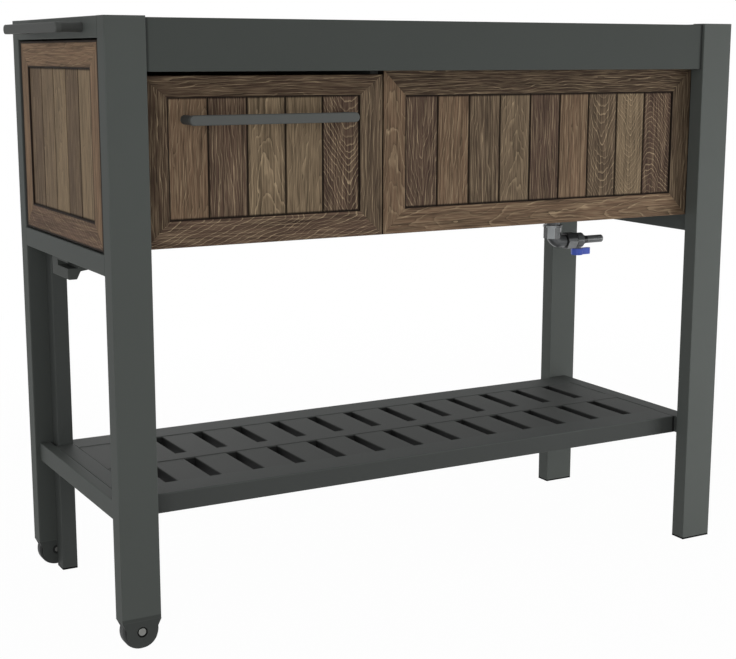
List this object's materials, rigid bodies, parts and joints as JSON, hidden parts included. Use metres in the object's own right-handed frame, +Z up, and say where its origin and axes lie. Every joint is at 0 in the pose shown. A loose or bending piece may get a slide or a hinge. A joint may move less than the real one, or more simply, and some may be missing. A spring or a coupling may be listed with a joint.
{
  "type": "party table",
  "caption": "Rolling patio bar cart: tube frame, board-panelled cabinet with drawer and drained cooler under a hinged lid, slatted shelf, side pull and bottle opener.",
  "frame": {"origin": "on the floor, at the middle of the box round the whole table", "axes": "+X along the table towards the standing legs, +Y from the drawer side to the back, +Z up"},
  "size_m": [1.159, 0.4465, 0.914],
  "materials": {
    "frame_paint": "charcoal powder coat, fine satin",
    "weathered_wood": "weathered grey-brown board with limed grain",
    "cabinet_board": "charcoal-faced board",
    "dark_plastic": "dark moulded plastic",
    "liner_plastic": "white moulded plastic",
    "lever_plastic": "blue moulded plastic",
    "steel": "plated steel",
    "gasket_rubber": "soft black strip"
  },
  "bodies": {
    "table": {"front_left_leg": "frame_paint", "rear_left_leg": "frame_paint", "front_right_leg": "frame_paint", "rear_right_leg": "frame_paint", "front_post": "frame_paint", "rear_post": "frame_paint", "front_apron": "frame_paint", "rear_apron": "frame_paint", "left_top_rail": "frame_paint", "right_top_rail": "frame_paint", "left_bottom_rail": "frame_paint", "right_bottom_rail": "frame_paint", "shelf_front_rail": "frame_paint", "shelf_centre_rail": "frame_paint", "shelf_back_rail": "frame_paint", "shelf_left_rail": "frame_paint", "shelf_right_rail": "frame_paint", "shelf_outer_rail": "frame_paint", "shelf_front_slats": "frame_paint", "shelf_back_slats": "frame_paint", "pull_handle": "frame_paint", "bottle_opener": "frame_paint", "left_panel_frame": "weathered_wood", "left_panel_boards": "weathered_wood", "right_panel_frame": "weathered_wood", "right_panel_boards": "weathered_wood", "front_panel_frame": "weathered_wood", "front_panel_boards": "weathered_wood", "back_panel_frame": "weathered_wood", "back_panel_boards": "weathered_wood", "cabinet_floor": "cabinet_board", "divider": "cabinet_board", "worktop": "cabinet_board", "foot_caps": "dark_plastic", "front_fork": "dark_plastic", "rear_fork": "dark_plastic", "drain_bulkhead": "dark_plastic", "drain_elbow": "dark_plastic", "union_nut": "dark_plastic", "valve_body": "dark_plastic", "cooler_jacket": "dark_plastic", "cooler_liner": "liner_plastic", "front_axle": "steel", "rear_axle": "steel", "slide_channels": "steel", "hinge_apron_leaves": "steel", "hinge_pins": "steel"},
    "drawer": {"drawer_front_frame": "weathered_wood", "drawer_front_boards": "weathered_wood", "drawer_handle": "frame_paint", "drawer_box": "cabinet_board", "slide_runners": "steel"},
    "lid": {"cooler_lid": "frame_paint", "lid_core": "liner_plastic", "lid_gasket": "gasket_rubber", "hinge_lid_leaves": "steel"},
    "front_wheel": {"front_wheel": "dark_plastic"},
    "rear_wheel": {"rear_wheel": "dark_plastic"},
    "valve_lever": {"valve_lever": "lever_plastic"}
  },
  "joints": [
    {"name": "drawer_slide", "type": "slide", "parent": "table", "child": "drawer", "axis": [0, -1, 0], "range_m": [0, 0.25]},
    {"name": "lid_hinge", "type": "hinge", "parent": "table", "child": "lid", "pos_m": [0.233, 0.1885, 0.909], "axis": [-1, 0, 0], "range_deg": [0, 95]},
    {"name": "front_wheel_roll", "type": "hinge", "parent": "table", "child": "front_wheel", "pos_m": [-0.5105, -0.208, 0.028], "axis": [0, 1, 0], "continuous": true},
    {"name": "rear_wheel_roll", "type": "hinge", "parent": "table", "child": "rear_wheel", "pos_m": [-0.5105, 0.208, 0.028], "axis": [0, 1, 0], "continuous": true},
    {"name": "valve_turn", "type": "hinge", "parent": "table", "child": "valve_lever", "pos_m": [0.433, 0, 0.511], "axis": [0, 0, -1], "range_deg": [0, 90]}
  ]
}
